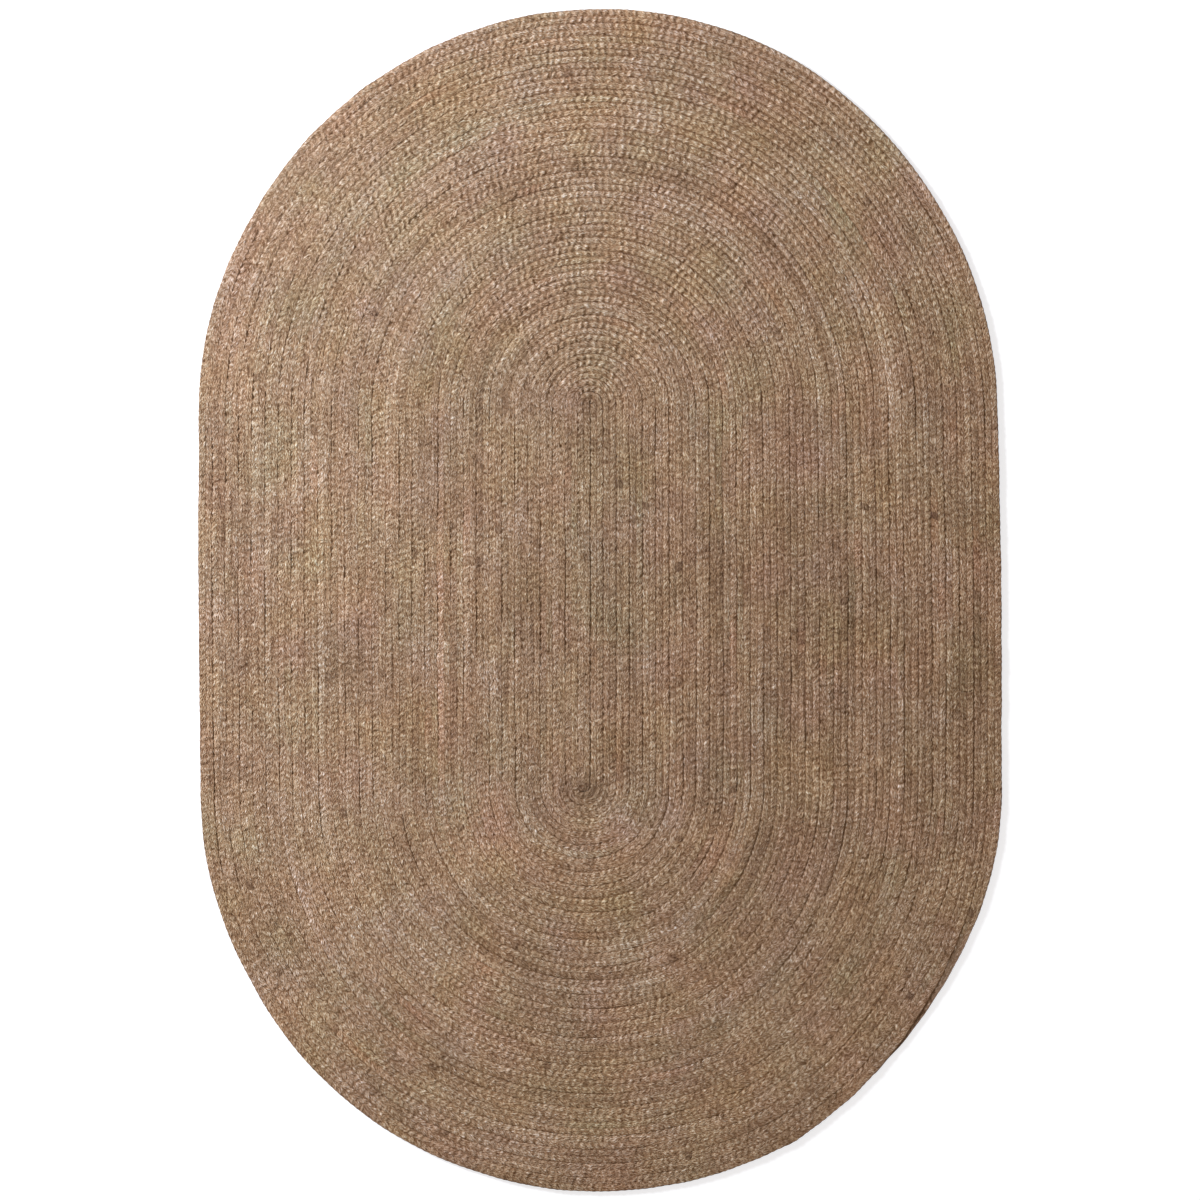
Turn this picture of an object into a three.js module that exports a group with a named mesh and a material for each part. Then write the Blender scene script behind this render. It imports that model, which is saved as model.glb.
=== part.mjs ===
// Oval jute rug, wound as a spiral from one long flat braid and sewn turn to turn. It lies flat.
// Millimetres. +X is across the rug, +Y along its length and +Z up, with the underside at Z = 0.
import * as THREE from 'three';
import { mergeVertices } from 'three/addons/utils/BufferGeometryUtils.js';

// The winding
const TURNS = 30;
const START_LINE = 581.2; // length of the straight first pass
const START_SHIFT = 20.6; // the lower centre of the winding lies half of this left of the upper one
const SIDE_STEPS = 2; // steps along each straight side
const ARC_STEPS = 20; // steps round each end

// The braid, lying flat
const SEAM_HEIGHT = 5.2; // where two turns are sewn together
const CREST_HEIGHT = 9.0; // top of each plaited row
const GROOVE_HEIGHT = 7.4; // between the two rows of a braid
const FOOT_INSET = 2.6; // how far the rounded rim tucks in under itself

// The braid's tail thins out into the rim on the bottom arc.
const TAIL_START_STEP = 1;
const TAIL_STEPS = 4;

const SMALLEST_AREA = 1e-6; // a triangle below this has collapsed and is left out
const WELD_DISTANCE = 1e-3;

const JUTE_COLOR = 0xa5896b;
const JUTE_ROUGHNESS = 0.95;

// Each lap counts four quarters, clockwise from above: up the left side, over the top,
// down the right side and round the bottom.
const UP_LEFT = 0;
const OVER_TOP = 1;
const DOWN_RIGHT = 2;
const ROUND_BOTTOM = 3;
const QUARTERS = 4;

// Width of the braid as it lies at each place of a lap: pulled tight on the left, looser on the right.
const LAY = [
  { lap: 0.0, width: 19.76 },
  { lap: 0.5, width: 19.87 },
  { lap: 1.0, width: 19.85 },
  { lap: 1.17, width: 19.61 },
  { lap: 1.33, width: 19.73 },
  { lap: 1.5, width: 20.06 },
  { lap: 1.67, width: 20.31 },
  { lap: 1.83, width: 20.34 },
  { lap: 2.0, width: 20.69 },
  { lap: 2.5, width: 20.89 },
  { lap: 3.0, width: 20.88 },
  { lap: 3.17, width: 20.95 },
  { lap: 3.33, width: 21.35 },
  { lap: 3.5, width: 20.93 },
  { lap: 3.67, width: 20.45 },
  { lap: 3.83, width: 19.9 },
];

// How far the winding has spread after so many turns, in mean braid widths.
const SPREAD = [
  { turn: 0, widths: 0.0 },
  { turn: 5, widths: 4.8 },
  { turn: 15, widths: 14.65 },
  { turn: 21, widths: 20.9 },
  { turn: 30, widths: 30.0 },
  { turn: 31, widths: 31.0 },
];

// The braid's top, from its inner seam to its outer one.
const PROFILE = [
  { across: 0.0, height: SEAM_HEIGHT },
  { across: 0.25, height: CREST_HEIGHT },
  { across: 0.5, height: GROOVE_HEIGHT },
  { across: 0.75, height: CREST_HEIGHT },
  { across: 1.0, height: SEAM_HEIGHT },
];

const upperCentre = new THREE.Vector2(0, START_LINE / 2);
const lowerCentre = new THREE.Vector2(-START_SHIFT / 2, -START_LINE / 2);

function braidWidth(lap) {
  const after = LAY.findIndex((row) => row.lap > lap);
  const next = after < 0 ? { ...LAY[0], lap: QUARTERS } : LAY[after];
  const last = after < 0 ? LAY[LAY.length - 1] : LAY[after - 1];
  return THREE.MathUtils.mapLinear(lap, last.lap, next.lap, last.width, next.width);
}

function spread(turn) {
  const next = Math.max(1, SPREAD.findIndex((row) => row.turn >= turn));
  const [from, to] = [SPREAD[next - 1], SPREAD[next]];
  return THREE.MathUtils.mapLinear(turn, from.turn, to.turn, from.widths, to.widths);
}

// The point on seam number seam, counted in turns from the middle, at a place of the lap.
function seamPoint(lap, seam, height) {
  const width = braidWidth(lap % QUARTERS);
  const quarter = Math.min(Math.floor(lap), ROUND_BOTTOM);
  const share = lap - quarter;
  if (quarter === ROUND_BOTTOM) {
    const reach = spread(seam + share) * width + (0.5 - share) * START_SHIFT;
    const angle = -Math.PI * share;
    const x = lowerCentre.x + reach * Math.cos(angle);
    const y = lowerCentre.y + reach * Math.sin(angle);
    return new THREE.Vector3(x, y, height);
  }
  const reach = spread(seam) * width;
  if (quarter === OVER_TOP) {
    const angle = Math.PI * (1 - share);
    const x = upperCentre.x + reach * Math.cos(angle);
    const y = upperCentre.y + reach * Math.sin(angle);
    return new THREE.Vector3(x, y, height);
  }
  const climb = quarter === UP_LEFT ? share : 1 - share;
  const y = THREE.MathUtils.lerp(lowerCentre.y, upperCentre.y, climb);
  return new THREE.Vector3(quarter === UP_LEFT ? -reach : reach, y, height);
}

function lapStations() {
  const stations = [];
  for (const quarter of [UP_LEFT, OVER_TOP, DOWN_RIGHT, ROUND_BOTTOM]) {
    const steps = quarter % 2 === 0 ? SIDE_STEPS : ARC_STEPS;
    for (let step = 0; step < steps; step++) stations.push(quarter + step / steps);
  }
  return [...stations, QUARTERS];
}

// Share of its full width that the braid has on its last lap.
function tailShare(lap) {
  const step = (lap - ROUND_BOTTOM) * ARC_STEPS - TAIL_START_STEP;
  return THREE.MathUtils.clamp(1 - step / TAIL_STEPS, 0, 1);
}

// One cross-section of the braid, from its inner seam to its outer one.
function braidSection(lap, turn) {
  const share = turn === TURNS - 1 ? tailShare(lap) : 1;
  return PROFILE.map(({ across, height }) => {
    const thinned = THREE.MathUtils.lerp(SEAM_HEIGHT, height, share);
    return seamPoint(lap, turn + across * share, thinned);
  });
}

class Skin {
  corners = [];

  triangle(a, b, c) {
    const area = new THREE.Triangle(a, b, c).getArea();
    if (area > SMALLEST_AREA) this.corners.push(...a.toArray(), ...b.toArray(), ...c.toArray());
  }

  quad(a, b, c, d) {
    this.triangle(a, b, c);
    this.triangle(a, c, d);
  }

  geometry() {
    const soup = new THREE.BufferGeometry();
    soup.setAttribute('position', new THREE.Float32BufferAttribute(this.corners, 3));
    return mergeVertices(soup, WELD_DISTANCE);
  }
}

function addTop(skin, stations) {
  for (let turn = 0; turn < TURNS; turn++) {
    for (let i = 0; i + 1 < stations.length; i++) {
      const here = braidSection(stations[i], turn);
      const ahead = braidSection(stations[i + 1], turn);
      for (let k = 0; k + 1 < PROFILE.length; k++) {
        skin.quad(here[k], ahead[k], ahead[k + 1], here[k + 1]);
      }
    }
  }
}

// The braid's first end is rounded, inside the first turn round the bottom.
function addStartEnd(skin, stations) {
  const end = braidSection(0, 0);
  const hub = end[(PROFILE.length - 1) / 2];
  const bottom = stations.filter((lap) => lap >= ROUND_BOTTOM);
  const round = bottom.map((lap) => seamPoint(lap, 0, SEAM_HEIGHT));
  for (let i = 0; i + 1 < round.length; i++) skin.triangle(hub, round[i + 1], round[i]);
  for (let k = 0; k + 1 < end.length; k++) skin.triangle(hub, end[k], end[k + 1]);
}

// The edge of the rug: the last turn's outer seam, then the turn before it once the tail has ended.
function rimPoints(stations, height, inset) {
  return stations.slice(0, -1).map((lap) => {
    const seam = TURNS - 1 + tailShare(lap);
    const point = seamPoint(lap, seam, height);
    const centreY = THREE.MathUtils.clamp(point.y, lowerCentre.y, upperCentre.y);
    const centre = new THREE.Vector3(0, centreY, height);
    return point.lerp(centre, inset / point.distanceTo(centre));
  });
}

function addRimAndUnderside(skin, stations) {
  const rim = rimPoints(stations, SEAM_HEIGHT, 0);
  const foot = rimPoints(stations, 0, FOOT_INSET);
  const middle = new THREE.Vector3(0, 0, 0);
  rim.forEach((point, i) => {
    const next = (i + 1) % rim.length;
    skin.quad(foot[i], point, rim[next], foot[next]);
    skin.triangle(middle, foot[i], foot[next]);
  });
}

function rugGeometry() {
  const stations = lapStations();
  const skin = new Skin();
  addTop(skin, stations);
  addStartEnd(skin, stations);
  addRimAndUnderside(skin, stations);
  const geometry = skin.geometry();
  geometry.computeBoundingBox();
  const middle = geometry.boundingBox.getCenter(new THREE.Vector3());
  geometry.translate(-middle.x, -middle.y, 0);
  geometry.computeVertexNormals();
  return geometry;
}

const jute = new THREE.MeshStandardMaterial({
  color: JUTE_COLOR,
  roughness: JUTE_ROUGHNESS,
  metalness: 0,
});

const rug = new THREE.Mesh(rugGeometry(), jute);
rug.name = 'rug';

const model = new THREE.Group();
model.add(rug);

export default model;
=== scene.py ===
import math

import bpy
import numpy as np
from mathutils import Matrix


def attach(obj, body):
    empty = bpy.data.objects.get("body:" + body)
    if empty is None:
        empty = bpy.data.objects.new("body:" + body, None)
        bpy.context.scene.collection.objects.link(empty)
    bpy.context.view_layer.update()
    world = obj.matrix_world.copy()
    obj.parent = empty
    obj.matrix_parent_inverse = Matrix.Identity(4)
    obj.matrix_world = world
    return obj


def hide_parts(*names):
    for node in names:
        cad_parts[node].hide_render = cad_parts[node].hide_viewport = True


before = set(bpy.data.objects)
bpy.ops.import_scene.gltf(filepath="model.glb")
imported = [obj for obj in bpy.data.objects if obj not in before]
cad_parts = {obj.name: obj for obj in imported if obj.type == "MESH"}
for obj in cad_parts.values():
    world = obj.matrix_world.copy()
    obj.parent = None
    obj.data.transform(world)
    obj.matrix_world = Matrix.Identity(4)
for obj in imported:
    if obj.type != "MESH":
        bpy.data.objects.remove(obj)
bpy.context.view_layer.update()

rng = np.random.default_rng(2718)

# The winding, as in the part. A lap has four quarters: up the left side, over the top,
# down the right side and round the bottom.
TURNS = 30
QUARTERS = 4
ROUND_BOTTOM = 3
START_LINE = 0.5812  # from the lower centre of the winding up to the upper one
START_SHIFT = 0.0206  # the lower centre lies half of this left of the upper one
# Width of the braid as it lies at each place of a lap
LAY = {
    "lap": [0.0, 0.5, 1.0, 1.17, 1.33, 1.5, 1.67, 1.83, 2.0, 2.5, 3.0, 3.17, 3.33, 3.5, 3.67, 3.83, 4.0],
    "width_mm": [19.76, 19.87, 19.85, 19.61, 19.73, 20.06, 20.31, 20.34, 20.69, 20.89, 20.88, 20.95,
                 21.35, 20.93, 20.45, 19.9, 19.76],
}
# How far the winding has spread after so many turns, in braid widths
SPREAD = {
    "turn": [0, 5, 15, 21, 30, 31],
    "widths": [0.0, 4.8, 14.65, 20.9, 30.0, 31.0],
}
TAIL_LAP = 3.05  # place of the last lap where the tail starts to thin out
TAIL_LAPS = 0.2  # how far on it ends
THINNEST_TAIL = 0.08
THIN_HEIGHT = 0.6  # share of its height that the braid keeps at its two ends
START_RADIUS = 0.0116  # of the rounded first end
START_REACH = 0.985  # share of that radius that the first points reach at most
BRAID_WIDTH = 0.0204
FIRST_STITCH = -1  # the rounded first end lies in the stitch before the start
WAY_STEPS = 64  # steps of the tables in a quarter
WAY_MARGIN = 1e-4  # quarters that every point keeps from the tail's end

# The plait: two rows of slanted lobes side by side, half a stitch out of step
PITCH = {
    "turn": [0, 4, 7, 10, 13, 19, 22, 25, 30],
    "length_mm": [11.0, 11.0, 11.6, 10.8, 10.5, 10.6, 11.9, 11.6, 11.2],
}
COLUMNS = 2  # one for each row
CUTS = 6  # faces across one lobe
LINES = 4  # lines along one stitch
STRANDS = 3
STAGGER = 0.5  # stitches that the second row is out of step
SLANT = 0.28  # stitches that a strand runs on while it crosses half of the braid
CREST_HEIGHT = 0.0089
# The braid's section from its inner seam to its outer one: where the seams and the middle groove
# lie, and how high a lobe stands
SECTION = {
    "across": [0.0, 0.035, 0.10, 0.19, 0.29, 0.40, 0.5, 0.60, 0.71, 0.81, 0.90, 0.965, 1.0],
    "seam": [1.0, 0.5, 0.16, 0.02, 0.0, 0.0, 0.0, 0.0, 0.0, 0.02, 0.16, 0.5, 1.0],
    "middle": [0.0, 0.0, 0.0, 0.0, 0.06, 0.35, 1.0, 0.35, 0.06, 0.0, 0.0, 0.0, 0.0],
    "relief_mm": [0.5, 0.9, 1.5, 2.1, 2.1, 1.6, 0.8, 1.6, 2.1, 2.1, 1.5, 0.9, 0.5],
}
# The grooves at each place of a lap, open round the ends and tight on the sides: how far each row is
# rounded, the depth of the seams and of the middle groove, how much painted shade both get, and the
# strength of the narrow line of painted shade, the crease, in both
GROOVES = {
    "lap": [0.0, 0.5, 1.0, 1.12, 1.25, 1.38, 1.5, 1.6, 1.72, 1.85,
            2.0, 2.5, 3.0, 3.2, 3.35, 3.5, 3.65, 3.8, 4.0],
    "crown_mm": [0.35, 0.4, 0.25, 0.7, 0.9, 1.1, 2.1, 2.1, 1.5, 0.8,
                 0.6, 0.7, 0.8, 0.7, 0.4, 0.8, 1.1, 0.3, 0.15],
    "seam_mm": [0.1, 0.1, 0.1, 0.2, 0.3, 0.4, 0.6, 0.8, 0.7, 0.4,
                0.3, 0.4, 0.6, 0.5, 0.3, 0.4, 0.6, 0.3, 0.1],
    "middle_mm": [0.1, 0.1, 0.1, 0.1, 0.2, 0.3, 0.4, 0.7, 0.7, 0.3,
                  0.1, 0.1, 0.1, 0.1, 0.1, 0.2, 0.5, 0.3, 0.1],
    "painted_shade": [0.0, 0.0, 0.0, 0.05, 0.1, 0.15, 0.3, 0.4, 0.3, 0.1,
             0.0, 0.0, 0.0, 0.0, 0.0, 0.1, 0.2, 0.1, 0.0],
    "painted_crease": [0.25, 0.25, 0.2, 0.2, 0.2, 0.15, 0.15, 0.22, 0.25, 0.3,
               0.45, 0.45, 0.4, 0.22, 0.15, 0.15, 0.12, 0.12, 0.2],
}
CREASE = {"middle": 0.85, "gain": 0.3}  # share of the painted crease shade that the middle groove has, and what a seam has more
GROOVE_LINES = {"size": 0.4, "step": 5.0}  # darker and paler lines along the grooves
# How strongly the lobes, the fine threads and the lumps stand out, and how much lighter or darker the colour
# is made at each place of the lap
PLACES = {
    "lap": [0.0, 0.5, 1.0, 1.25, 1.5, 1.75, 2.0, 2.5, 3.0, 3.25, 3.5, 3.75, 4.0],
    "relief": [0.72, 0.77, 0.85, 1.1, 1.0, 0.95, 0.85, 0.85, 0.85, 0.9, 0.75, 0.5, 0.65],
    "thread": [1.0, 1.0, 0.9, 0.7, 0.5, 0.5, 0.8, 1.0, 0.9, 0.6, 0.4, 0.4, 0.8],
    "lump_mm": [0.26, 0.26, 0.26, 0.26, 0.12, 0.18, 0.26, 0.28, 0.26, 0.22, 0.14, 0.12, 0.24],
    "tone": [-0.05, -0.06, -0.05, 0.03, 0.12, 0.06, -0.04, -0.13, -0.11, -0.08, -0.05, 0.07, -0.01],
}
# One lobe along its row: how it rises, and its painted shading, lighter on its crest and darker at its ends
# where shade falls between the lobes
LOBE = {
    "phase": [0.0, 0.25, 0.5, 0.75, 1.0],
    "rise": [-1.0, -0.15, 0.45, -0.05, -1.0],
    "painted_shading": [0.3, 0.55, 1.05, 0.65, 0.3],
}
MIDDLE_PAINTED_SHADE = {"least": 0.5, "gain": 0.3}  # painted shade along the middle groove, lighter on the lobes' tips
# painted shade along the braid's two edges, where it meets the next turn
EDGE_PAINTED_SHADE = 0.65
# painted shade on the underside
FOOT_PAINTED_SHADE = 0.5
SEAM_OVERLAP = 0.012  # how far the edge of one turn laps into the next
TIP_REACH = 0.06  # how far a lobe's tip pushes over the middle of the braid
TIP_DIP = 0.7  # how far the middle of the braid sinks between two tips
EDGE_BULGE = 0.012  # how far a lobe bulges at the braid's edge
FOOT = [0.09, 0.5, 0.91]  # points across the underside
BANDS = 9  # pieces that the braid is built in

# Unevenness
SEAM_WANDER = {"size": 0.0004, "step": 5.0}
ROW_LIFT = {"size": 0.0004, "step": 9.0}
THREAD = {"height": 0.0007, "tone": 0.26, "step": 5.0}  # fine ridges of yarn along the rows, painted lighter where they stand higher and darker where lower
LIGHT_GRAIN = 0.12
RAGGED = {"size": 0.07, "step": 1.5}  # stitches by which the edge of a lobe strays from its line
PHASE_WANDER = {"size": 0.35, "step": 10.0}  # stitches by which each row runs ahead or behind
STITCH_LIFT = 0.0003
STITCH_SHIFT = 0.12
STITCH_SIZE = {"spread": 0.3, "least": 0.3, "most": 1.7}
DRIFT = 0.0006
DRIFT_WAVES = [
    {"across": 0.31, "along": 0.17, "phase": 0.4},
    {"across": 0.12, "along": 0.23, "phase": 2.1},
    {"across": 0.09, "along": 0.07, "phase": 4.4},
]


def smooth_noise(places, step):
    """Seeded noise from -1 to 1 along one line, with a new value at every step."""
    knots = np.asarray(places) / step
    first = math.floor(knots.min())
    values = rng.uniform(-1, 1, math.ceil(knots.max()) - first + 2)
    cell = np.floor(knots).astype(int)
    share = knots - cell
    share = share * share * (3 - 2 * share)
    return values[cell - first] * (1 - share) + values[cell - first + 1] * share


def waver(places, layer):
    """Smooth noise with the size and the step of one layer."""
    return smooth_noise(places, layer["step"]) * layer["size"]


def at_lap(lap, table, name):
    """One list of a table that goes by place of the lap, read at these places."""
    return np.interp(lap, table["lap"], table[name])


def seam_place(lap, seam):
    """X and Y on seam number seam, counted in turns from the middle, at a place of the lap."""
    quarter = np.minimum(np.floor(lap), ROUND_BOTTOM)
    share = lap - quarter
    bottom = quarter == ROUND_BOTTOM
    width = at_lap(lap, LAY, "width_mm") / 1000
    reach = np.interp(seam + bottom * share, SPREAD["turn"], SPREAD["widths"]) * width
    reach = reach + bottom * (0.5 - share) * START_SHIFT
    angle = np.choose(quarter.astype(int), [math.pi, math.pi * (1 - share), 0, -math.pi * share])
    climb = np.choose(quarter.astype(int), [share, 1, 1 - share, 0])
    x = reach * np.cos(angle) - bottom * START_SHIFT / 2
    y = reach * np.sin(angle) + (climb - 0.5) * START_LINE
    return x, y


def tail_share(way):
    """Share of its full width that the braid has: its tail thins out at the end of the last turn."""
    lap = way - (TURNS - 1) * QUARTERS
    return np.clip(1 - (lap - TAIL_LAP) / TAIL_LAPS, 0, 1)


# The way along the winding is counted in quarters, and the plait's run along it in stitches.
way_table = np.arange((TURNS + 1) * QUARTERS * WAY_STEPS) / WAY_STEPS
middle_x, middle_y = seam_place(way_table % QUARTERS, way_table // QUARTERS + 0.5)
step_length = np.hypot(np.diff(middle_x), np.diff(middle_y))
step_pitch = np.interp(way_table[1:] / QUARTERS, PITCH["turn"], PITCH["length_mm"]) / 1000
run_table = np.concatenate([[0], np.cumsum(step_length / step_pitch)])
way_end = (TURNS - 1) * QUARTERS + TAIL_LAP + TAIL_LAPS
stitches = int(np.interp(way_end, way_table, run_table))

rim_lap = np.arange(QUARTERS * WAY_STEPS) / WAY_STEPS
rim_x, rim_y = seam_place(rim_lap, TURNS - 1 + tail_share(rim_lap + (TURNS - 1) * QUARTERS))
centre_x = (rim_x.min() + rim_x.max()) / 2
centre_y = (rim_y.min() + rim_y.max()) / 2

wander_table = waver(run_table, SEAM_WANDER)
wander_table *= np.clip(way_table / QUARTERS - 1, 0, 1)  # the first seam is straight
lift_table = waver(run_table, ROW_LIFT)


def drift(x, y):
    """A slow sideways drift that neighbouring turns share."""
    total = 0
    for wave in DRIFT_WAVES:
        total = total + np.sin(2 * math.pi * (x / wave["across"] + y / wave["along"]) + wave["phase"])
    return total * DRIFT / len(DRIFT_WAVES)


def lay_out(run, across):
    """X, Y and the share of its full size, for places on the braid: run in stitches, across from 0 to 1."""
    before = np.minimum(run, 0) * PITCH["length_mm"][0] / 1000
    before = np.maximum(before, -START_RADIUS * START_REACH)
    way = np.minimum(np.interp(run, run_table, way_table), way_end - WAY_MARGIN)
    end_share = np.sqrt(1 - (before / START_RADIUS) ** 2)
    tail = np.maximum(tail_share(way), THINNEST_TAIL)
    spot = 0.5 + (across - 0.5) * end_share
    inner = np.interp(way, way_table, wander_table)
    outer = np.interp(way + QUARTERS, way_table, wander_table)
    shift = (inner * (1 - spot) + outer * spot) / BRAID_WIDTH
    x, y = seam_place(way % QUARTERS, way // QUARTERS + spot * tail + shift)
    x, y = x - centre_x, y - centre_y + before
    return x + drift(x, y), y + drift(y, x), end_share * tail


# Points of the whole braid: lines across it, from one stitch before its start to its tail
stitch_rows = stitches + 2 - FIRST_STITCH  # one for each stitch, and one more after the tail
per_stitch = (stitch_rows, COLUMNS)
line = np.arange(FIRST_STITCH * LINES, stitches * LINES + 1)
points_across = COLUMNS * CUTS + 1
cut = np.arange(points_across)
base_across = np.array(SECTION["across"])
seam_shape = np.array(SECTION["seam"])
middle_shape = np.array(SECTION["middle"])
relief = np.array(SECTION["relief_mm"]) / 1000
column_of_cut = np.minimum(cut // CUTS, COLUMNS - 1)
on_middle = cut == CUTS
to_middle = np.minimum(base_across, 1 - base_across)
slant = SLANT * np.arccos(1 - 2 * to_middle) / (math.pi / 2)
threads = np.stack([smooth_noise(line / LINES, THREAD["step"]) for _ in cut], 1)
ahead = np.stack([waver(line / LINES, PHASE_WANDER) for _ in range(COLUMNS)], 1)
phase = line[:, None] / LINES + STAGGER * np.arange(COLUMNS) + ahead
stitch_of_face = np.floor((phase[:-1] + phase[1:]) / 2).astype(int) - FIRST_STITCH
stitch_of_face = np.clip(stitch_of_face, 0, stitch_rows - 1)


def read_between(values, places):
    """Values given once for each stitch and column, read at places between the stitches."""
    row = np.floor(places).astype(int)
    share = places - row
    row = np.clip(row - FIRST_STITCH, 0, stitch_rows - 2)
    column = np.arange(COLUMNS)
    return values[row, column] * (1 - share) + values[row + 1, column] * share


def by_cut(by_column):
    """Values of the columns as values of the cuts. The middle line takes the mean of both."""
    return np.where(on_middle, by_column.mean(1, keepdims=True), by_column[:, column_of_cut])


shift = by_cut(read_between(rng.normal(0, STITCH_SHIFT, per_stitch), phase))
lift = by_cut(read_between(rng.normal(0, STITCH_LIFT, per_stitch), phase - 0.5))
size = rng.normal(1, STITCH_SIZE["spread"], per_stitch)
size = np.clip(size, STITCH_SIZE["least"], STITCH_SIZE["most"])
size = by_cut(read_between(size, phase - 0.5))
ragged = np.stack([waver(line / LINES, RAGGED) for _ in cut], 1)
lobe_phase = (phase[:, column_of_cut] + ragged) % 1
tips = -np.cos(2 * math.pi * phase[:, :1])

# Where each point lies
across = base_across + on_middle * tips * TIP_REACH
bulge = -EDGE_BULGE * np.cos(2 * math.pi * phase)
across[:, 0] -= bulge[:, 0] + SEAM_OVERLAP
across[:, -1] += bulge[:, -1] + SEAM_OVERLAP
run = line[:, None] / LINES + slant + shift
top_x, top_y, top_share = lay_out(run, across)
top_way = np.interp(run, run_table, way_table)
top_lap = top_way % QUARTERS

# Painted light and shade at each point: lighter on the lobes' crests, darker between the lobes, in the
# grooves, along the edges and underneath, with a random grain
painted_shading = np.interp(lobe_phase, LOBE["phase"], LOBE["painted_shading"])
painted_shading = np.where(on_middle, MIDDLE_PAINTED_SHADE["least"] + MIDDLE_PAINTED_SHADE["gain"] * tips ** 2, painted_shading)
painted_shading[:, [0, -1]] = EDGE_PAINTED_SHADE
row_wave = np.cos(4 * math.pi * base_across)
seam_line = waver(run_table, GROOVE_LINES)
middle_line = waver(run_table, GROOVE_LINES)
seam_line = np.interp(top_way + QUARTERS * (base_across > 0.5), way_table, seam_line)
middle_line = np.interp(top_way, way_table, middle_line)
threads = threads * at_lap(top_lap, PLACES, "thread")
# Painted shade in the seams and the middle groove, and painted light on the rows between them
painted_shading -= row_wave * at_lap(top_lap, GROOVES, "painted_shade")
painted_shading -= seam_shape * seam_line + middle_shape * middle_line
# Painted highlight on the raised threads and painted shade on the low ones, and a random grain
painted_shading += threads * THREAD["tone"] + rng.normal(0, LIGHT_GRAIN, top_lap.shape)
# How strong the narrow line of painted shade in the grooves is at each point
crease_share = CREASE["middle"] + CREASE["gain"] * np.abs(2 * base_across - 1)
painted_crease = at_lap(top_lap, GROOVES, "painted_crease") * crease_share

# How high each point lies
rise = np.interp(lobe_phase, LOBE["phase"], LOBE["rise"])
rise = np.where(on_middle, TIP_DIP * (tips ** 2 - 1), rise)
seam_depth = seam_shape * at_lap(top_lap, GROOVES, "seam_mm")
middle_depth = middle_shape * at_lap(top_lap, GROOVES, "middle_mm")
crown_depth = (1 + row_wave) / 2 * at_lap(top_lap, GROOVES, "crown_mm")
depth = (seam_depth + middle_depth + crown_depth) / 1000
row_lift = np.interp(top_way, way_table, lift_table)
lump = rng.normal(0, 1, top_lap.shape) * at_lap(top_lap, PLACES, "lump_mm") / 1000
lump = (lump + threads * THREAD["height"]) * (1 - seam_shape)
shaped = relief * at_lap(top_lap, PLACES, "relief") * size * rise - depth
thinned = THIN_HEIGHT + (1 - THIN_HEIGHT) * top_share
top_z = (CREST_HEIGHT + shaped * top_share + lift + row_lift + lump) * thinned

# The underside, with one line of points for each stitch
foot_run = np.arange(FIRST_STITCH, stitches + 1)[:, None] + np.zeros(len(FOOT))
foot_x, foot_y, _ = lay_out(foot_run, np.array(FOOT))
# Painted shade on the underside
foot_painted_shade = np.full(foot_run.shape, FOOT_PAINTED_SHADE)

# Tables that the pieces are cut from. The lay is where the yarn's grain is read, and how strong the painted
# crease shade is.
YARN_STITCH = 0.011  # length of a stitch in the yarn's grain
top_place = np.stack([top_x, top_y, top_z], -1)
foot_place = np.stack([foot_x, foot_y, 0 * foot_x], -1)
top_lay = np.stack([across * BRAID_WIDTH, run * YARN_STITCH, painted_crease], -1)
foot_lay = np.stack([np.array(FOOT) * BRAID_WIDTH + 0 * foot_run, foot_run * YARN_STITCH, 0 * foot_run], -1)

# Colour of each stitch
TAN = np.array([0.343, 0.231, 0.1458])
DARKENING = np.array([0.8, 1.0, 1.22])  # a darker yarn is a warmer one
RED = np.array([0.04, -0.02, -0.02])
YELLOW = np.array([0.0, 0.0, -0.07])
TONE_RANGE = (0.3, 2)
# Cloudy patches, with the shortest and longest of their waves in metres
TONE_CLOUDS = {"size": 0.04, "count": 30, "shortest": 0.08, "longest": 0.5}
RED_CLOUDS = {"size": 0.37, "count": 40, "shortest": 0.08, "longest": 0.3}
YELLOW_CLOUDS = {"size": 0.52, "count": 40, "shortest": 0.06, "longest": 0.3}
STITCH_TONE = 0.085
STRAND_TONE = {"size": 0.03, "step": 30}
ROW_TONES = [{"size": 0.08, "step": 90}, {"size": 0.06, "step": 14}]
ROW_RED = {"size": 0.22, "step": 30}
ROW_YELLOW = {"size": 0.35, "step": 30}
stitch_index, column_index = np.indices(per_stitch)
stitch_run = stitch_index + FIRST_STITCH + 0.5 - STAGGER * column_index + SLANT / 2
stitch_across = (column_index + 0.5) / COLUMNS
stitch_way = np.minimum(np.interp(stitch_run, run_table, way_table), way_end - WAY_MARGIN)
stitch_lap = stitch_way % QUARTERS
stitch_turn = stitch_way // QUARTERS + stitch_across
stitch_x, stitch_y, _ = lay_out(stitch_run, stitch_across)


def clouds(layer):
    """Seeded soft patches over the whole rug, made of waves in every direction."""
    total = np.zeros_like(stitch_x)
    for _ in range(layer["count"]):
        angle = rng.uniform(0, math.pi)
        length = layer["shortest"] * (layer["longest"] / layer["shortest"]) ** rng.random()
        along = stitch_x * math.cos(angle) + stitch_y * math.sin(angle)
        total += np.cos(2 * math.pi * (along / length + rng.random()))
    return total * math.sqrt(2 / layer["count"]) * layer["size"]


def along_rows(layer):
    """A seeded slow change from stitch to stitch."""
    return waver(np.arange(stitch_rows), layer)[:, None]


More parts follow.
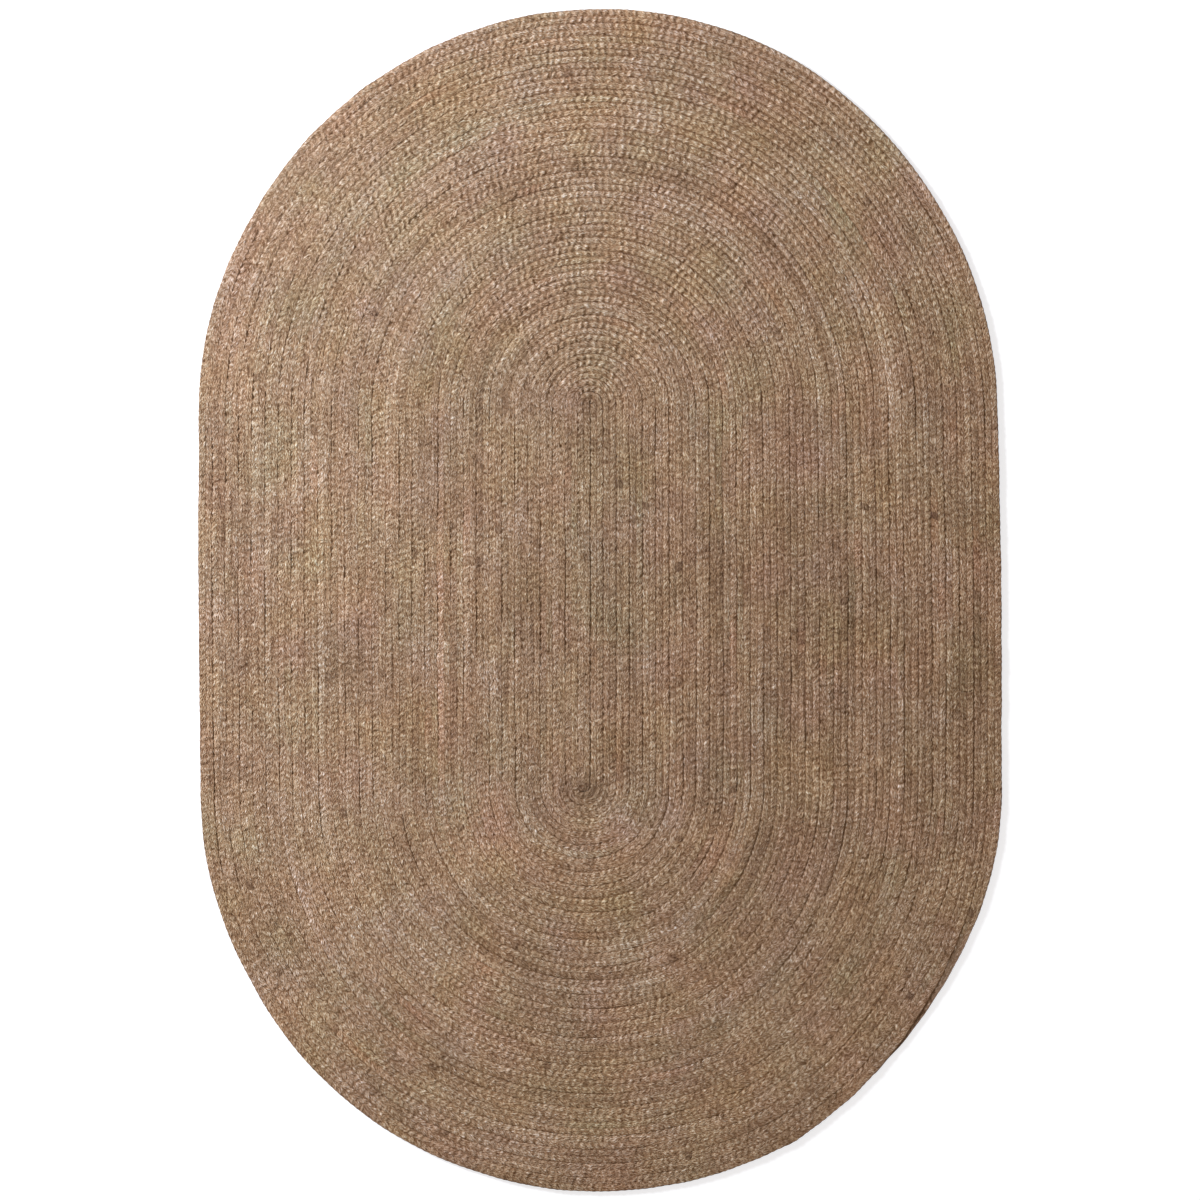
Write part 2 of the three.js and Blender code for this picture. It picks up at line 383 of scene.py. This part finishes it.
tone = clouds(TONE_CLOUDS) + rng.normal(0, STITCH_TONE, per_stitch)
tone += at_lap(stitch_lap, PLACES, "tone")
red = clouds(RED_CLOUDS)
yellow = clouds(YELLOW_CLOUDS)
strand = np.mod(stitch_index - column_index, STRANDS)
for each in range(STRANDS):
    tone += (strand == each) * along_rows(STRAND_TONE)
for each in range(COLUMNS):
    in_row = column_index == each
    tone += in_row * sum(along_rows(layer) for layer in ROW_TONES)
    red += in_row * along_rows(ROW_RED)
    yellow += in_row * along_rows(ROW_YELLOW)

# Seeded stretches of a paler, darker, redder or greener yarn along one row, with lengths in stitches
SHORTEST_YARN = 4
YARNS = [
    {"count": 90, "longest": 60, "tone": 0.14, "red": -0.2, "yellow": -0.4},
    {"count": 60, "longest": 50, "tone": -0.12, "red": 0.2, "yellow": 0.1},
    {"count": 24, "longest": 16, "tone": 0.0, "red": 1.4, "yellow": 0.3},
    {"count": 30, "longest": 20, "tone": -0.02, "red": -1.0, "yellow": 0.3},
]
for yarn in YARNS:
    for _ in range(yarn["count"]):
        start = rng.uniform(0, stitches)
        length = rng.uniform(SHORTEST_YARN, yarn["longest"])
        place = (stitch_index - start) / length
        weight = np.clip(4 * place * (1 - place), 0, 1) * (column_index == rng.integers(COLUMNS))
        tone += weight * yarn["tone"]
        red += weight * yarn["red"]
        yellow += weight * yarn["yellow"]

# Stretches seen on the rug, along its winding
STRETCHES = [
    {"turn": 22.4, "lap": 1.95, "turns": 0.6, "laps": 0.14, "tone": 0.26, "red": 0.0},
    {"turn": 22.6, "lap": 2.3, "turns": 0.6, "laps": 0.3, "tone": 0.08, "red": 0.0},
    {"turn": 23.75, "lap": 1.97, "turns": 0.3, "laps": 0.1, "tone": -0.16, "red": 0.0},
    {"turn": 20.25, "lap": 1.93, "turns": 0.4, "laps": 0.12, "tone": -0.12, "red": 0.0},
    {"turn": 23.2, "lap": 1.42, "turns": 0.8, "laps": 0.15, "tone": 0.13, "red": -0.7},
    {"turn": 19.7, "lap": 1.5, "turns": 0.7, "laps": 0.2, "tone": -0.08, "red": 0.0},
    {"turn": 18.9, "lap": 2.55, "turns": 0.4, "laps": 0.28, "tone": -0.13, "red": 0.0},
    {"turn": 17.1, "lap": 2.3, "turns": 0.3, "laps": 0.08, "tone": -0.20, "red": 0.0},
    {"turn": 15.6, "lap": 2.62, "turns": 0.6, "laps": 0.05, "tone": -0.24, "red": 0.0},
    {"turn": 14.6, "lap": 2.7, "turns": 0.6, "laps": 0.04, "tone": -0.20, "red": 0.0},
    {"turn": 13.5, "lap": 2.77, "turns": 0.6, "laps": 0.04, "tone": -0.14, "red": 0.0},
    {"turn": 9.4, "lap": 2.48, "turns": 0.5, "laps": 0.07, "tone": -0.20, "red": 0.0},
    {"turn": 10.25, "lap": 2.75, "turns": 0.3, "laps": 0.2, "tone": -0.12, "red": 0.0},
    {"turn": 10.75, "lap": 3.0, "turns": 0.3, "laps": 1.2, "tone": 0.10, "red": 0.5},
    {"turn": 11.75, "lap": 0.3, "turns": 0.3, "laps": 0.5, "tone": 0.08, "red": 1.2},
    {"turn": 10.75, "lap": 2.62, "turns": 0.4, "laps": 0.05, "tone": 0.0, "red": 1.8},
    {"turn": 23.75, "lap": 0.6, "turns": 0.3, "laps": 0.6, "tone": 0.12, "red": 0.0},
    {"turn": 22.75, "lap": 3.8, "turns": 0.3, "laps": 0.2, "tone": 0.12, "red": 0.0},
    {"turn": 6.5, "lap": 3.85, "turns": 1.2, "laps": 0.15, "tone": 0.04, "red": 1.6},
    {"turn": 23.0, "lap": 1.25, "turns": 1.2, "laps": 0.2, "tone": 0.0, "red": -0.8},
    {"turn": 23.2, "lap": 1.8, "turns": 0.8, "laps": 0.04, "tone": -0.04, "red": -2.0},
    {"turn": 29.5, "lap": 3.8, "turns": 0.8, "laps": 0.3, "tone": 0.0, "red": 0.8},
    {"turn": 29.5, "lap": 0.1, "turns": 0.8, "laps": 0.3, "tone": 0.0, "red": 0.8},
    {"turn": 29.2, "lap": 1.5, "turns": 0.8, "laps": 0.3, "tone": 0.0, "red": 0.6},
    {"turn": 26.75, "lap": 2.07, "turns": 0.5, "laps": 0.05, "tone": 0.0, "red": 1.8},
    {"turn": 25.75, "lap": 2.5, "turns": 0.5, "laps": 0.05, "tone": 0.0, "red": 1.2},
    {"turn": 24.75, "lap": 1.64, "turns": 0.5, "laps": 0.04, "tone": 0.0, "red": 1.6},
    {"turn": 23.3, "lap": 3.16, "turns": 0.9, "laps": 0.06, "tone": 0.0, "red": -0.9},
    {"turn": 19.5, "lap": 3.38, "turns": 0.7, "laps": 0.15, "tone": 0.0, "red": -0.9},
    {"turn": 26.25, "lap": 1.48, "turns": 0.2, "laps": 0.07, "tone": 0.26, "red": -0.5},
    {"turn": 23.25, "lap": 1.5, "turns": 0.2, "laps": 0.03, "tone": 0.22, "red": -0.5},
    {"turn": 2.75, "lap": 2.95, "turns": 0.5, "laps": 0.1, "tone": -0.15, "red": 0.0},
]
for mark in STRETCHES:
    off_turn = (stitch_turn - mark["turn"]) / mark["turns"]
    off_lap = (stitch_lap - mark["lap"]) / mark["laps"]
    weight = np.exp(-off_turn ** 2 - off_lap ** 2)
    tone += weight * mark["tone"]
    red += weight * mark["red"]

# Broad patches seen on the rug
PATCHES = [
    {"x": -0.015, "y": 0.30, "across": 0.02, "along": 0.02, "tone": -0.30, "red": 0.0},
    {"x": -0.026, "y": -0.29, "across": 0.028, "along": 0.02, "tone": -0.42, "red": 0.0},
    {"x": -0.02, "y": 0.14, "across": 0.045, "along": 0.19, "tone": 0.0, "red": -1.0},
    {"x": -0.24, "y": 0.41, "across": 0.05, "along": 0.10, "tone": 0.0, "red": -1.1},
    {"x": 0.24, "y": 0.36, "across": 0.03, "along": 0.06, "tone": 0.0, "red": -0.9},
    {"x": -0.52, "y": 0.18, "across": 0.03, "along": 0.08, "tone": 0.0, "red": -1.0},
    {"x": -0.37, "y": 0.29, "across": 0.03, "along": 0.08, "tone": 0.0, "red": -0.8},
    {"x": -0.34, "y": 0.58, "across": 0.10, "along": 0.06, "tone": 0.04, "red": -0.4},
    {"x": -0.36, "y": -0.10, "across": 0.07, "along": 0.04, "tone": -0.09, "red": 0.5},
    {"x": -0.12, "y": -0.02, "across": 0.06, "along": 0.08, "tone": -0.04, "red": 0.0},
    {"x": -0.28, "y": -0.48, "across": 0.09, "along": 0.07, "tone": 0.07, "red": 0.0},
    {"x": 0.14, "y": 0.10, "across": 0.06, "along": 0.10, "tone": -0.05, "red": 0.0},
]
for patch in PATCHES:
    off_x = (stitch_x - patch["x"]) / patch["across"]
    off_y = (stitch_y - patch["y"]) / patch["along"]
    weight = np.exp(-off_x ** 2 - off_y ** 2)
    tone += weight * patch["tone"]
    red += weight * patch["red"]

FLECKS = {"share": 0.003, "tone": -0.45}
tone += FLECKS["tone"] * (rng.random(per_stitch) < FLECKS["share"])
hue = 1 + red[..., None] * RED + yellow[..., None] * YELLOW
tint = TAN * np.clip(1 + tone, *TONE_RANGE)[..., None] ** DARKENING * hue

# Yarns lie along the lobes, turned a little by the twist of the strands. Angles in degrees.
LOBE_ANGLE = 16
TWIST = -6
GRAIN_REACH = 40  # how far apart in the noise two stitches may read their grain
yarn_angle = np.tile(np.radians([LOBE_ANGLE + TWIST, -LOBE_ANGLE + TWIST]), (stitch_rows, 1))
grain = np.stack([yarn_angle, GRAIN_REACH * rng.random(per_stitch), np.zeros(per_stitch)], -1)

# One material for the whole braid
# half width of the narrow line of painted shade in the seams and the middle groove
PAINTED_CREASE_HALF = 0.0016
PAINTED_SPLIT = {"half": 0.0012, "shade": 0.2}  # the finer line of painted shade along the middle of each row, between its two columns
NOISE_SPAN = (0.3, 0.7)  # what the noise gives from its darkest to its palest places
FIBRES = {"across": 0.0010, "along": 0.0036, "tone": (0.4, 1.6)}
PLIES = {"across": 0.0013, "along": 0.0052, "tone": (0.35, 1.65)}
PAINTED_SHADING_SPAN = (0.0, 1.5)  # the painted shading of a point, from the darkest to the palest
PAINTED_SHADING_TONE = (0.55, 1.3)  # what that painted shading makes of the yarn's colour
SHADE_POWERS = (0.7, 1.0, 1.38)  # for red, green and blue: a darker fibre and a place in painted shade are both warmer
ROUGHNESS = (0.9, 0.62)
SPECULAR = 0.5
BUMP = {"strength": 1.0, "distance": 0.003, "fibres": 0.5}


class NodeMaker:
    """Makes the nodes of one material and joins them."""

    def __init__(self, material):
        material.use_nodes = True
        self.nodes = material.node_tree.nodes
        self.links = material.node_tree.links

    def node(self, kind, **settings):
        made = self.nodes.new(kind)
        for name, value in settings.items():
            setattr(made, name, value)
        return made

    def attribute(self, name, output):
        return self.node("ShaderNodeAttribute", attribute_name=name).outputs[output]

    def math(self, operation, first, second):
        made = self.node("ShaderNodeMath", operation=operation)
        for socket, value in zip(made.inputs, (first, second)):
            if isinstance(value, (int, float)):
                socket.default_value = value
            else:
                self.links.new(value, socket)
        return made.outputs[0]

    def mapped(self, value, span, to_span):
        made = self.node("ShaderNodeMapRange")
        self.links.new(value, made.inputs["Value"])
        for name, number in zip(("From Min", "From Max", "To Min", "To Max"), span + to_span):
            made.inputs[name].default_value = number
        return made.outputs["Result"]


def yarn_noise(maker, place, jump, layer):
    """Noise drawn out along the yarns of a strand, with the two sizes of its grain in metres."""
    scaled = maker.node("ShaderNodeVectorMath", operation="MULTIPLY_ADD")
    maker.links.new(place, scaled.inputs[0])
    scaled.inputs[1].default_value = (1 / layer["across"], 1 / layer["along"], 0)
    maker.links.new(jump, scaled.inputs[2])
    noise = maker.node("ShaderNodeTexNoise")
    noise.inputs["Scale"].default_value = 1.0
    noise.inputs["Detail"].default_value = 1.0
    maker.links.new(scaled.outputs[0], noise.inputs["Vector"])
    return noise.outputs["Fac"]


def painted_shade_line(maker, side_place, spacing, half, shade):
    """A soft line of painted shade of this half width, repeated across the braid."""
    off_line = maker.math("PINGPONG", side_place, spacing / 2)
    return maker.mapped(off_line, (0.0, half), (shade, 0.0))


def painted_groove_shade(maker, lay):
    """How much the painted shade of the creases and of the finer lines leaves of the yarn's colour."""
    parts = maker.node("ShaderNodeSeparateXYZ")
    maker.links.new(lay, parts.inputs[0])
    row_width = BRAID_WIDTH / COLUMNS
    painted_crease = painted_shade_line(maker, parts.outputs[0], row_width, PAINTED_CREASE_HALF, 1.0)
    painted_split = painted_shade_line(maker, parts.outputs[0], row_width / 2, PAINTED_SPLIT["half"], PAINTED_SPLIT["shade"])
    lines = maker.math("ADD", maker.math("MULTIPLY", painted_crease, parts.outputs[2]), painted_split)
    return maker.math("SUBTRACT", 1.0, lines)


def jute_material():
    material = bpy.data.materials.new("jute_braid")
    maker = NodeMaker(material)
    link = maker.links.new
    shader = maker.nodes["Principled BSDF"]

    # The grain is turned and moved from stitch to stitch.
    lay = maker.attribute("lay", "Vector")
    stitch = maker.node("ShaderNodeSeparateXYZ")
    link(maker.attribute("stitch", "Vector"), stitch.inputs[0])
    turned = maker.node("ShaderNodeVectorRotate", rotation_type="Z_AXIS")
    link(lay, turned.inputs["Vector"])
    link(stitch.outputs[0], turned.inputs["Angle"])
    jump = maker.node("ShaderNodeCombineXYZ")
    link(stitch.outputs[1], jump.inputs[2])
    fibres = yarn_noise(maker, turned.outputs[0], jump.outputs[0], FIBRES)
    plies = yarn_noise(maker, turned.outputs[0], jump.outputs[0], PLIES)

    # Colour, with the points' painted shading and the grooves' painted shade
    fibre_tone = maker.mapped(fibres, NOISE_SPAN, FIBRES["tone"])
    ply_tone = maker.mapped(plies, NOISE_SPAN, PLIES["tone"])
    painted_shading_tone = maker.mapped(maker.attribute("painted_shading", "Fac"), PAINTED_SHADING_SPAN, PAINTED_SHADING_TONE)
    yarn_tone = maker.math("MULTIPLY", fibre_tone, ply_tone)
    lit_tone = maker.math("MULTIPLY", yarn_tone, painted_shading_tone)
    shade = maker.math("MULTIPLY", lit_tone, painted_groove_shade(maker, lay))
    channels = maker.node("ShaderNodeCombineXYZ")
    for socket, power in zip(channels.inputs, SHADE_POWERS):
        link(maker.math("POWER", shade, power), socket)
    colour = maker.node("ShaderNodeVectorMath", operation="MULTIPLY")
    link(maker.attribute("tint", "Color"), colour.inputs[0])
    link(channels.outputs[0], colour.inputs[1])
    link(colour.outputs[0], shader.inputs["Base Color"])

    # Surface
    link(maker.mapped(fibres, NOISE_SPAN, ROUGHNESS), shader.inputs["Roughness"])
    shader.inputs["Specular IOR Level"].default_value = SPECULAR
    bumps = maker.node("ShaderNodeBump")
    bumps.inputs["Strength"].default_value = BUMP["strength"]
    bumps.inputs["Distance"].default_value = BUMP["distance"]
    height = maker.math("ADD", maker.math("MULTIPLY", fibres, BUMP["fibres"]), plies)
    link(height, bumps.inputs["Height"])
    link(bumps.outputs["Normal"], shader.inputs["Normal"])
    return material


# One stretch of the braid is a closed tube. Its bake map unrolls it in rows of stitches, one above another.
# A girth from 0 to 1 goes once round the tube: over the top first, then back along the underside.
TOP_GIRTH = 0.8
FOOT_GIRTH = [0.95, 0.9, 0.85]
MAP_ROWS = 19
MAP_GAP = 0.004
ROW_MARGIN = 0.05
ROUNDING = 1e-6
# The caps at the two ends lie side by side in a strip below the rows.
CAP_ROOM = 0.03
CAP_MAP = {"left": 0.01, "step": 0.05, "width": 0.04, "bottom": 0.004, "height": 0.016}
CUTS_PER_FOOT = COLUMNS * CUTS // len(FOOT)
# The turn is the order in which the corners of a side face are taken.
SIDES = [
    {"cut": 0, "foot": 0, "girth": 1.0, "column": 0, "turn": -1},
    {"cut": COLUMNS * CUTS, "foot": len(FOOT) - 1, "girth": TOP_GIRTH, "column": COLUMNS - 1, "turn": 1},
]


class Patchwork:
    """Faces of one size, with the bake map's run and girth at each corner and the stitch each belongs to."""

    def __init__(self):
        self.corners, self.runs, self.girths, self.tints, self.grains = [], [], [], [], []

    def add(self, corners, runs, girths, stitch, column):
        self.corners.append(np.stack(corners, -1))
        self.runs.append(np.stack(runs, -1).astype(float))
        self.girths.append(np.array(girths) + 0 * self.runs[-1])
        self.tints.append(tint[stitch, column])
        self.grains.append(grain[stitch, column])

    def close(self):
        for name in ("corners", "runs", "girths", "tints", "grains"):
            setattr(self, name, np.concatenate(getattr(self, name)))
        return self

    def bake_map(self, stitches_per_row):
        first = np.floor(self.runs.min(1) + ROUNDING)
        row = np.floor(first / stitches_per_row)[:, None]
        along = (self.runs - row * stitches_per_row) / stitches_per_row
        u = MAP_GAP + along * (1 - 2 * MAP_GAP)
        row_height = (1 - CAP_ROOM) / MAP_ROWS
        v = CAP_ROOM + row_height * (row + ROW_MARGIN + (1 - 2 * ROW_MARGIN) * self.girths)
        return np.stack([u, v], -1).reshape(-1, 2)


class Stretch:
    """One stretch of the braid: its rows in the tables, and the numbers of its points, the top's first."""

    def __init__(self, first, last):
        self.count = last - first
        self.stitch = np.arange(self.count)
        self.top_rows = np.arange(self.count * LINES + 1) + (first - FIRST_STITCH) * LINES
        self.foot_rows = np.arange(self.count + 1) + first - FIRST_STITCH
        self.rows = self.foot_rows[:-1]
        self.top_points = len(self.top_rows) * points_across

    def top_point(self, line_number, cut_number):
        return line_number * points_across + cut_number

    def foot_point(self, row, place):
        return self.top_points + row * len(FOOT) + place

    def on_points(self, top_values, foot_values):
        """Values of all points of the stretch, one after another."""
        return np.concatenate([top_values[self.top_rows].ravel(), foot_values[self.foot_rows].ravel()])


def top_and_underside(stretch):
    """The faces with four corners."""
    faces = Patchwork()
    girth = TOP_GIRTH * base_across
    row = np.arange(stretch.count * LINES)
    runs = [row / LINES, (row + 1) / LINES, (row + 1) / LINES, row / LINES]
    for near in range(points_across - 1):
        far = near + 1
        column = column_of_cut[near]
        lobe = stitch_of_face[stretch.top_rows[:-1], column]
        corners = [stretch.top_point(row, near), stretch.top_point(row + 1, near),
                   stretch.top_point(row + 1, far), stretch.top_point(row, far)]
        faces.add(corners, runs, [girth[near], girth[near], girth[far], girth[far]], lobe, column)
    row = stretch.stitch
    runs = [row, row, row + 1, row + 1]
    for near in range(len(FOOT) - 1):
        far = near + 1
        corners = [stretch.foot_point(row, near), stretch.foot_point(row, far),
                   stretch.foot_point(row + 1, far), stretch.foot_point(row + 1, near)]
        girths = [FOOT_GIRTH[near], FOOT_GIRTH[far], FOOT_GIRTH[far], FOOT_GIRTH[near]]
        faces.add(corners, runs, girths, stretch.rows, near)
    return faces.close()


def long_sides(stretch):
    """The faces with three corners, between the braid's edges and its foot."""
    faces = Patchwork()
    stitch = stretch.stitch
    half = LINES // 2
    for side in SIDES:
        foot_girth = FOOT_GIRTH[side["foot"]]
        for step in range(LINES):
            ends = [step, step + 1][::side["turn"]]
            foot_stitch = stitch + step // half
            corners = [stretch.top_point(stitch * LINES + end, side["cut"]) for end in ends]
            corners += [stretch.foot_point(foot_stitch, side["foot"])]
            runs = [stitch + end / LINES for end in ends] + [foot_stitch]
            girths = [side["girth"], side["girth"], foot_girth]
            faces.add(corners, runs, girths, stretch.rows, side["column"])
        ends = [stitch + 1, stitch][::side["turn"]]
        corners = [stretch.top_point(stitch * LINES + half, side["cut"])]
        corners += [stretch.foot_point(end, side["foot"]) for end in ends]
        girths = [side["girth"], foot_girth, foot_girth]
        faces.add(corners, [stitch + 0.5, *ends], girths, stretch.rows, side["column"])
    return faces.close()


def end_caps(stretch):
    """The faces that close the two ends of the stretch, and their places on the bake map."""
    caps, cap_map = [], []
    for end, row in enumerate((0, stretch.count)):
        rim = [stretch.top_point(row * LINES, place) for place in cut]
        foot = [stretch.foot_point(row, place) for place in range(len(FOOT))]
        cap = [[rim[place], rim[place + 1], foot[place // CUTS_PER_FOOT]] for place in cut[:-1]]
        cap += [[rim[place * CUTS_PER_FOOT], foot[place], foot[place - 1]] for place in range(1, len(FOOT))]
        if end:
            cap = [face[::-1] for face in cap]
        caps += cap
        for corner in np.array(cap).ravel():
            on_top = corner < stretch.top_points
            place = corner % points_across if on_top else (corner - stretch.top_points) % len(FOOT)
            side_place = base_across[place] if on_top else FOOT[place]
            u = CAP_MAP["left"] + CAP_MAP["step"] * end + CAP_MAP["width"] * side_place
            cap_map.append([u, CAP_MAP["bottom"] + CAP_MAP["height"] * on_top])
    return np.array(caps), np.array(cap_map)


def make_mesh(name, places, corner_index, sizes):
    """A smooth mesh of these places of points, of all faces' corners and of how many each face has."""
    starts = np.concatenate([[0], np.cumsum(sizes)[:-1]])
    mesh = bpy.data.meshes.new(name)
    mesh.vertices.add(len(places) // 3)
    mesh.vertices.foreach_set("co", places.astype(np.float32))
    mesh.loops.add(len(corner_index))
    mesh.loops.foreach_set("vertex_index", corner_index.astype(np.int32))
    mesh.polygons.add(len(sizes))
    mesh.polygons.foreach_set("loop_start", starts.astype(np.int32))
    mesh.update(calc_edges=True)
    mesh.validate()
    mesh.polygons.foreach_set("use_smooth", np.ones(len(sizes), bool))
    return mesh


def build_band(number, first, last, material):
    """One piece: its mesh, its bake map, what the material reads and what the frame is told."""
    stretch = Stretch(first, last)
    quads = top_and_underside(stretch)
    triangles = long_sides(stretch)
    caps, cap_map = end_caps(stretch)
    corner_index = np.concatenate([quads.corners.ravel(), triangles.corners.ravel(), caps.ravel()])
    sizes = np.repeat([4, 3], [len(quads.corners), len(triangles.corners) + len(caps)])
    name = f"braid_{number:02d}"
    mesh = make_mesh(name, stretch.on_points(top_place, foot_place), corner_index, sizes)
    per_row = math.ceil(stretch.count / MAP_ROWS)
    uv = np.concatenate([quads.bake_map(per_row), triangles.bake_map(per_row), cap_map])
    mesh.uv_layers.new(name="OFBake").data.foreach_set("uv", uv.astype(np.float32).ravel())

    def store(attribute, kind, domain, field, values):
        data = mesh.attributes.new(attribute, kind, domain).data
        data.foreach_set(field, values.astype(np.float32).ravel())

    tints = np.concatenate([quads.tints, triangles.tints, np.tile(TAN, (len(caps), 1))])
    grains = np.concatenate([quads.grains, triangles.grains, np.zeros((len(caps), 3))])
    store("lay", "FLOAT_VECTOR", "POINT", "vector", stretch.on_points(top_lay, foot_lay))
    store("painted_shading", "FLOAT", "POINT", "value", stretch.on_points(painted_shading, foot_painted_shade))
    store("tint", "FLOAT_VECTOR", "FACE", "vector", tints)
    store("stitch", "FLOAT_VECTOR", "FACE", "vector", grains)

    mesh.materials.append(material)
    band = bpy.data.objects.new(name, mesh)
    bpy.context.scene.collection.objects.link(band)
    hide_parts("rug")
    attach(band, "root")


jute = jute_material()
edges = np.linspace(FIRST_STITCH, stitches, BANDS + 1).astype(int)
for number in range(BANDS):
    build_band(number + 1, edges[number], edges[number + 1], jute)

# Floor
FLOOR_HALF = 20.0
FLOOR_SHARE = 0.45  # how much of the light the floor gives back, beside its own even glow
FLOOR_GLOW = {"colour": (0.97, 1, 1.06, 1), "strength": 0.66}
FLOOR_ROUGHNESS = 0.9
floor_mesh = bpy.data.meshes.new("floor")
floor_corners = [(x * FLOOR_HALF, y * FLOOR_HALF, 0) for x, y in ((-1, -1), (1, -1), (1, 1), (-1, 1))]
floor_mesh.from_pydata(floor_corners, [], [(0, 1, 2, 3)])
floor = bpy.data.objects.new("floor", floor_mesh)
bpy.context.scene.collection.objects.link(floor)
floor_material = bpy.data.materials.new("floor_white")
floor_material.use_nodes = True
floor_shader = floor_material.node_tree.nodes["Principled BSDF"]
floor_shader.inputs["Base Color"].default_value = (FLOOR_SHARE, FLOOR_SHARE, FLOOR_SHARE, 1)
floor_shader.inputs["Roughness"].default_value = FLOOR_ROUGHNESS
floor_shader.inputs["Specular IOR Level"].default_value = 0.0
floor_shader.inputs["Emission Color"].default_value = FLOOR_GLOW["colour"]
floor_shader.inputs["Emission Strength"].default_value = FLOOR_GLOW["strength"]
floor_mesh.materials.append(floor_material)

# Light: an even warm sky and a cooler lamp from the upper left
SKY = {"colour": (1.2, 1.0, 0.76, 1), "strength": 0.42}
KEY = {"place": (-2.75, 1.45, 1.92), "power": 232, "size": 1.2, "colour": (0.93, 1.0, 1.1)}
world = bpy.data.worlds.new("studio")
world.use_nodes = True
world.node_tree.nodes["Background"].inputs["Color"].default_value = SKY["colour"]
world.node_tree.nodes["Background"].inputs["Strength"].default_value = SKY["strength"]
bpy.context.scene.world = world
key_data = bpy.data.lights.new("key", "AREA")
key_data.energy = KEY["power"]
key_data.color = KEY["colour"]
key_data.shape = "DISK"
key_data.size = KEY["size"]
key = bpy.data.objects.new("key", key_data)
bpy.context.scene.collection.objects.link(key)
key.location = KEY["place"]
key.rotation_euler = (-key.location).to_track_quat("-Z", "Y").to_euler()

# Camera, straight above
LENS = 85
SENSOR = 36
VIEW_SIDE = 1.8305
camera_data = bpy.data.cameras.new("camera")
camera_data.lens = LENS
camera_data.sensor_width = SENSOR
camera = bpy.data.objects.new("camera", camera_data)
bpy.context.scene.collection.objects.link(camera)
camera.location = (0, 0, VIEW_SIDE * LENS / SENSOR)
bpy.context.scene.camera = camera
bpy.context.scene.view_settings.view_transform = "Standard"
